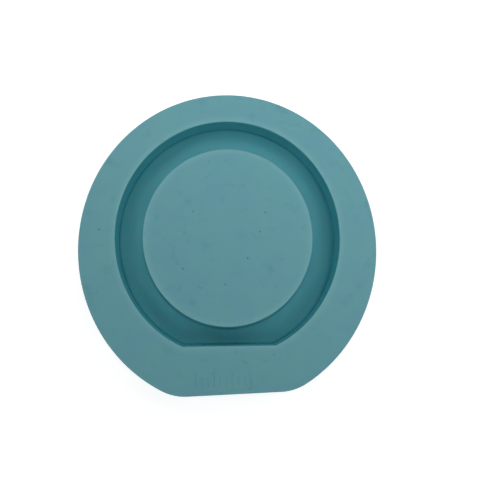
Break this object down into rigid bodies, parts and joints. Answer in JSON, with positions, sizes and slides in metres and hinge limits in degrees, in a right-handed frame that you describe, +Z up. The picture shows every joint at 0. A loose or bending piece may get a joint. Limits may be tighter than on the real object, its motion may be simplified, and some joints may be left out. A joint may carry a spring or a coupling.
{
  "type": "resin casting mould",
  "caption": "Silicone mould with a ring-shaped channel, flat at its foot, around a round island flush with the top, for casting a standing round frame in resin.",
  "frame": {"origin": "centre of the ring, on the flat underside", "axes": "+Z up, out of the channel's mouth; -Y towards the flat foot of the ring; +X to the right with the foot nearest the viewer"},
  "size_m": [0.15, 0.1525, 0.016],
  "materials": {
    "silicone": "matte teal silicone, smoother inside the channel"
  },
  "bodies": {
    "root": {"mould_body": "silicone"}
  },
  "joints": []
}
